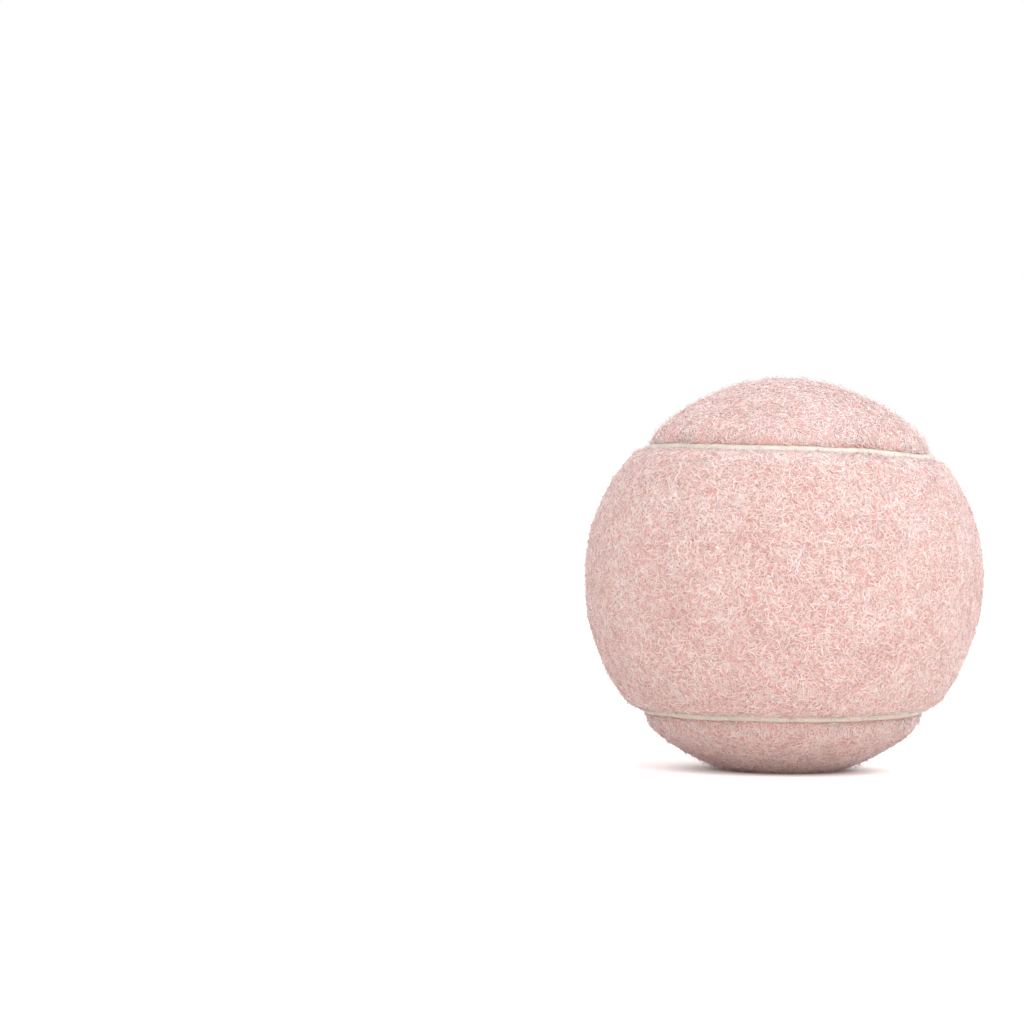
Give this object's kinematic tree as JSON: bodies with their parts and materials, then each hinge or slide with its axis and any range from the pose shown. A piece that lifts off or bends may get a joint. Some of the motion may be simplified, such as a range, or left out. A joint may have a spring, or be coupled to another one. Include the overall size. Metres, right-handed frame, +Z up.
{
  "type": "dog ball",
  "caption": "Felt-covered hollow rubber ball for dogs: bone-shaped felt panels interlock over a cemented core, with a rubber seam in the groove between them.",
  "frame": {"origin": "centre of the ball", "axes": "+Z up through the lobes of the back felt panel; -Y to the front, through the waist of the front felt panel; +X through the front panel's lobes"},
  "size_m": [0.067, 0.067, 0.067],
  "materials": {
    "core_rubber": "matte",
    "joint_cement": "satin",
    "panel_cement": "satin",
    "felt": "matte",
    "seam_rubber": "matte"
  },
  "bodies": {
    "root": {"core_half_upper": "core_rubber", "core_half_lower": "core_rubber", "core_joint_cement": "joint_cement", "panel_cement_front": "panel_cement", "panel_cement_back": "panel_cement", "felt_panel_front": "felt", "felt_panel_back": "felt", "seam_bead": "seam_rubber"}
  },
  "joints": []
}
